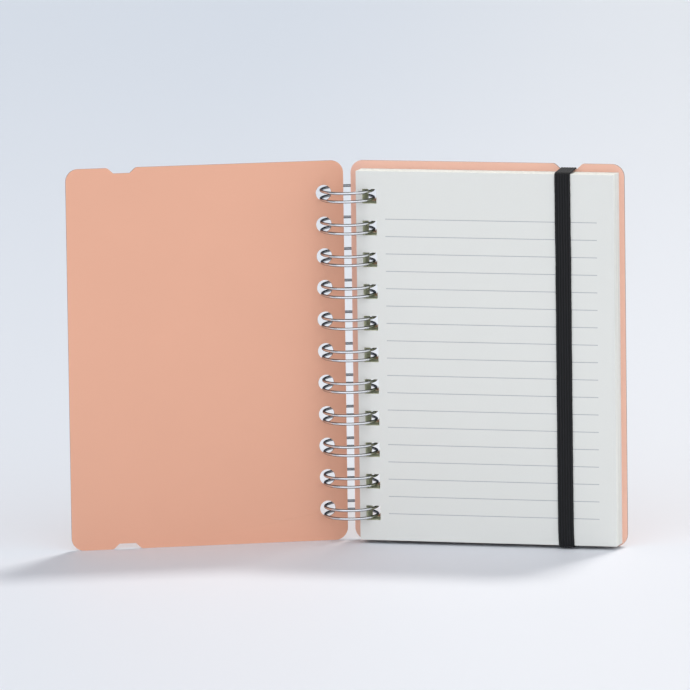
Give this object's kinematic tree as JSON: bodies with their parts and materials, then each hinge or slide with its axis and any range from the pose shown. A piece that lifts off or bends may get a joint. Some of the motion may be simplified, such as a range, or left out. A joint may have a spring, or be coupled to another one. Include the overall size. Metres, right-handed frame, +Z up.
{
  "type": "pocket notebook",
  "caption": "Twin-loop wire bound pocket notebook with plastic covers and ruled leaves, standing open in a V, with an elastic band round the leaves and back cover.",
  "frame": {"origin": "middle of the bounding box, on the plane that the covers' bottom edges stand on", "axes": "+Z up along the axis of the wire loops, +X from the open front cover towards the leaves, -Y towards the side the leaves face"},
  "size_m": [0.2212, 0.0396, 0.1527],
  "materials": {
    "cover": "fine matt polypropylene sheet, salmon",
    "leaf": "uncoated white paper with thin grey ruling",
    "wire": "bright plated steel wire",
    "band": "flat woven elastic with fine ribs, black"
  },
  "bodies": {
    "back_cover_and_wire": {"back_cover": "cover", "wire_binding": "wire"},
    "front_cover_body": {"front_cover": "cover"},
    "leaves_01_to_10": {"leaf_01": "leaf", "leaf_02": "leaf", "leaf_03": "leaf", "leaf_04": "leaf", "leaf_05": "leaf", "leaf_06": "leaf", "leaf_07": "leaf", "leaf_08": "leaf", "leaf_09": "leaf", "leaf_10": "leaf"},
    "leaves_11_to_20": {"leaf_11": "leaf", "leaf_12": "leaf", "leaf_13": "leaf", "leaf_14": "leaf", "leaf_15": "leaf", "leaf_16": "leaf", "leaf_17": "leaf", "leaf_18": "leaf", "leaf_19": "leaf", "leaf_20": "leaf"},
    "leaves_21_to_30": {"leaf_21": "leaf", "leaf_22": "leaf", "leaf_23": "leaf", "leaf_24": "leaf", "leaf_25": "leaf", "leaf_26": "leaf", "leaf_27": "leaf", "leaf_28": "leaf", "leaf_29": "leaf", "leaf_30": "leaf"},
    "leaves_31_to_40": {"leaf_31": "leaf", "leaf_32": "leaf", "leaf_33": "leaf", "leaf_34": "leaf", "leaf_35": "leaf", "leaf_36": "leaf", "leaf_37": "leaf", "leaf_38": "leaf", "leaf_39": "leaf", "leaf_40": "leaf"},
    "leaves_41_to_50": {"leaf_41": "leaf", "leaf_42": "leaf", "leaf_43": "leaf", "leaf_44": "leaf", "leaf_45": "leaf", "leaf_46": "leaf", "leaf_47": "leaf", "leaf_48": "leaf", "leaf_49": "leaf", "leaf_50": "leaf"},
    "elastic_band_body": {"elastic_band": "band"}
  },
  "joints": [
    {"name": "front_cover_hinge", "type": "hinge", "parent": "back_cover_and_wire", "child": "front_cover_body", "pos_m": [0, 0.00919, 0.07635], "axis": [0, 0, 1], "range_deg": [-30, 154]},
    {"name": "leaf_turn", "type": "hinge", "parent": "back_cover_and_wire", "child": "leaves_01_to_10", "pos_m": [0, 0.00919, 0.07635], "axis": [0, 0, 1], "range_deg": [-150, 0]},
    {"name": "leaf_turn_2", "type": "hinge", "parent": "back_cover_and_wire", "child": "leaves_11_to_20", "pos_m": [0, 0.00919, 0.07635], "axis": [0, 0, 1], "range_deg": [-145.55, 0]},
    {"name": "leaf_turn_3", "type": "hinge", "parent": "back_cover_and_wire", "child": "leaves_21_to_30", "pos_m": [0, 0.00919, 0.07635], "axis": [0, 0, 1], "range_deg": [-141.05, 0]},
    {"name": "leaf_turn_4", "type": "hinge", "parent": "back_cover_and_wire", "child": "leaves_31_to_40", "pos_m": [0, 0.00919, 0.07635], "axis": [0, 0, 1], "range_deg": [-136.55, 0]},
    {"name": "leaf_turn_5", "type": "hinge", "parent": "back_cover_and_wire", "child": "leaves_41_to_50", "pos_m": [0, 0.00919, 0.07635], "axis": [0, 0, 1], "range_deg": [-132.05, 0]},
    {"name": "band_release", "type": "slide", "parent": "back_cover_and_wire", "child": "elastic_band_body", "axis": [0.225, 0.9744, 0], "range_m": [0, 0.002], "deforming": ["elastic_band"]}
  ],
  "couplings": [
    {"joint": "leaf_turn_2", "follows": "leaf_turn", "ratio": 0.97},
    {"joint": "leaf_turn_3", "follows": "leaf_turn", "ratio": 0.94},
    {"joint": "leaf_turn_4", "follows": "leaf_turn", "ratio": 0.91},
    {"joint": "leaf_turn_5", "follows": "leaf_turn", "ratio": 0.88},
    {"joint": "band_release", "follows": "leaf_turn", "m_per_rad": -0.0007639}
  ]
}
